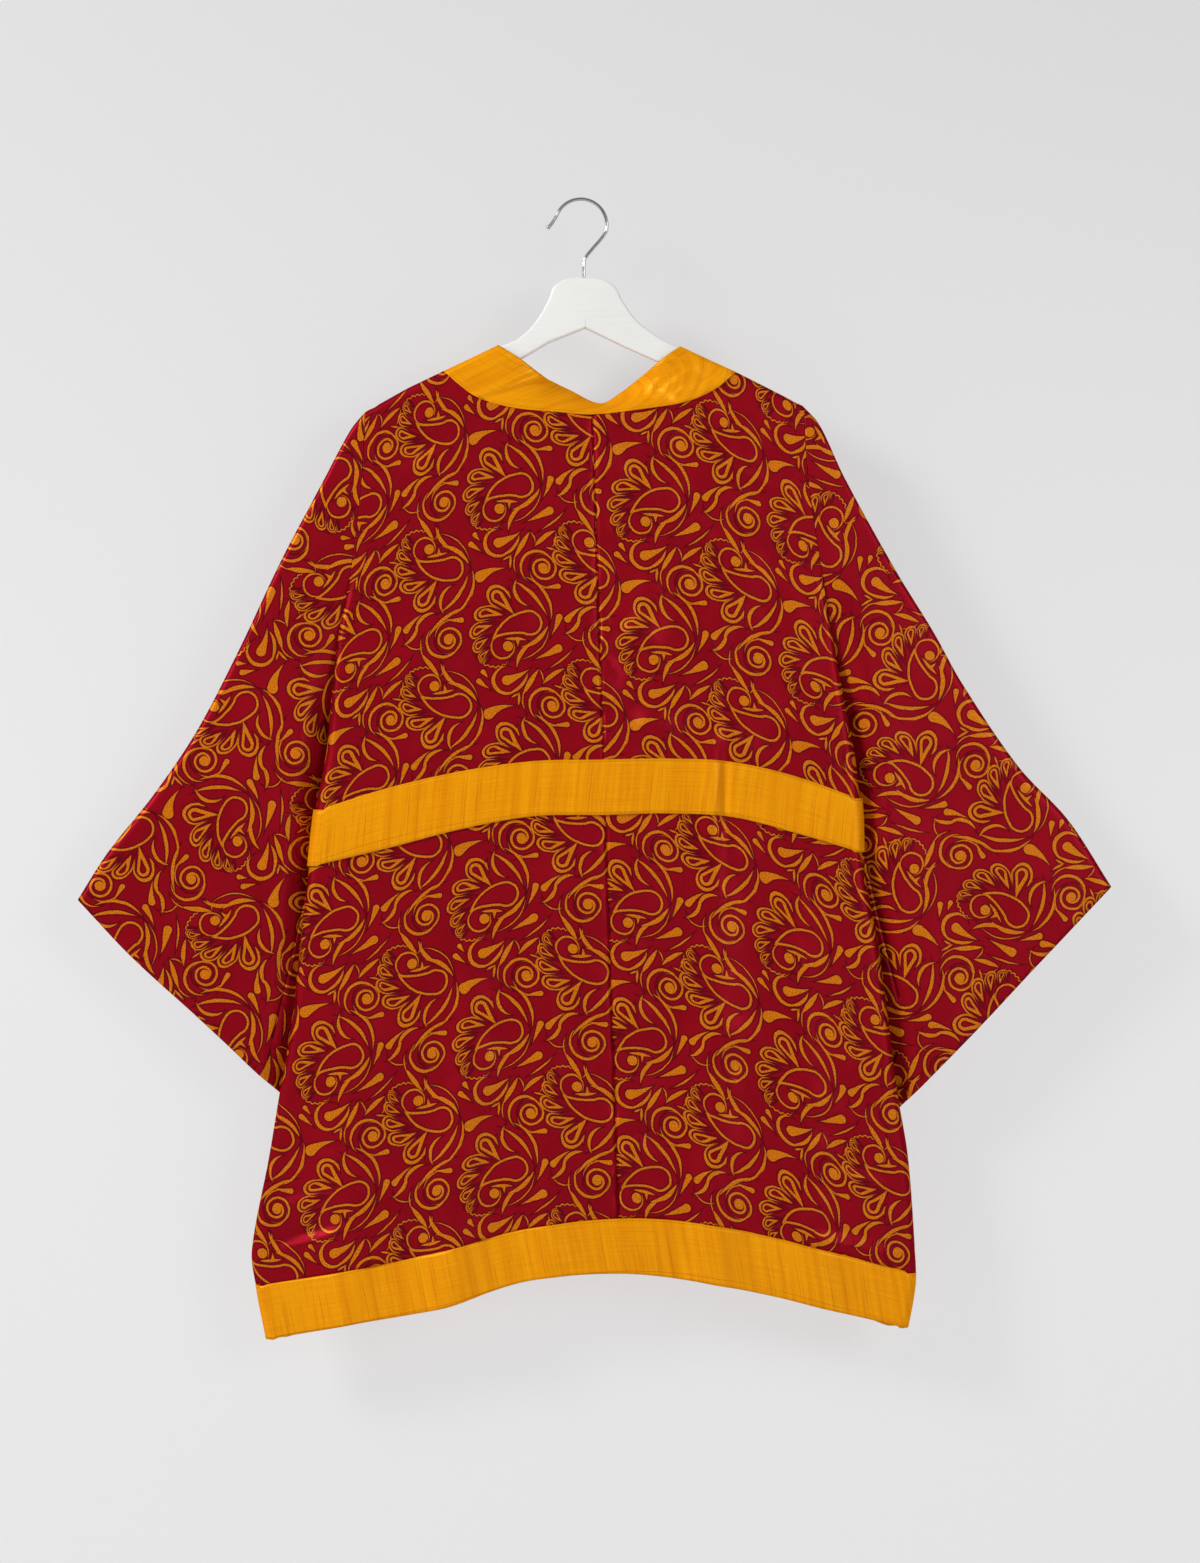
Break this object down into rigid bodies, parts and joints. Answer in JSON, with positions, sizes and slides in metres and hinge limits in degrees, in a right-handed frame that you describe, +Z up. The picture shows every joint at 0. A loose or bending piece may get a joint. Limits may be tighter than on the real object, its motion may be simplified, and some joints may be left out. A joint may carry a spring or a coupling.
{
  "type": "kimono robe on a clothes hanger",
  "caption": "Hip-length kimono robe of printed silk with plain neck, waist and hem bands and hanging wide sleeves, on a flat wooden hanger with a wire hook.",
  "frame": {"origin": "underside of the hook's crown, where the hanger hangs", "axes": "+Z up; -Y faces the viewer and is the garment's back; +Y is the garment's front; +X to the viewer's right along the hanger's arms"},
  "size_m": [1.0154, 0.0601, 1.1191],
  "materials": {
    "printed_silk": "satin",
    "gold_silk": "slubbed satin",
    "painted_wood": "white satin paint",
    "hook_chrome": "polished"
  },
  "bodies": {
    "root": {"hanger_wood": "painted_wood", "hanger_hook": "hook_chrome", "back_left": "printed_silk", "back_right": "printed_silk", "front_left": "printed_silk", "front_right": "printed_silk", "sleeve_left": "printed_silk", "sleeve_right": "printed_silk", "neckband_back": "gold_silk", "neckband_left": "gold_silk", "neckband_right": "gold_silk", "waistband": "gold_silk", "hem_back": "gold_silk", "hem_left": "gold_silk", "hem_right": "gold_silk"}
  },
  "joints": []
}
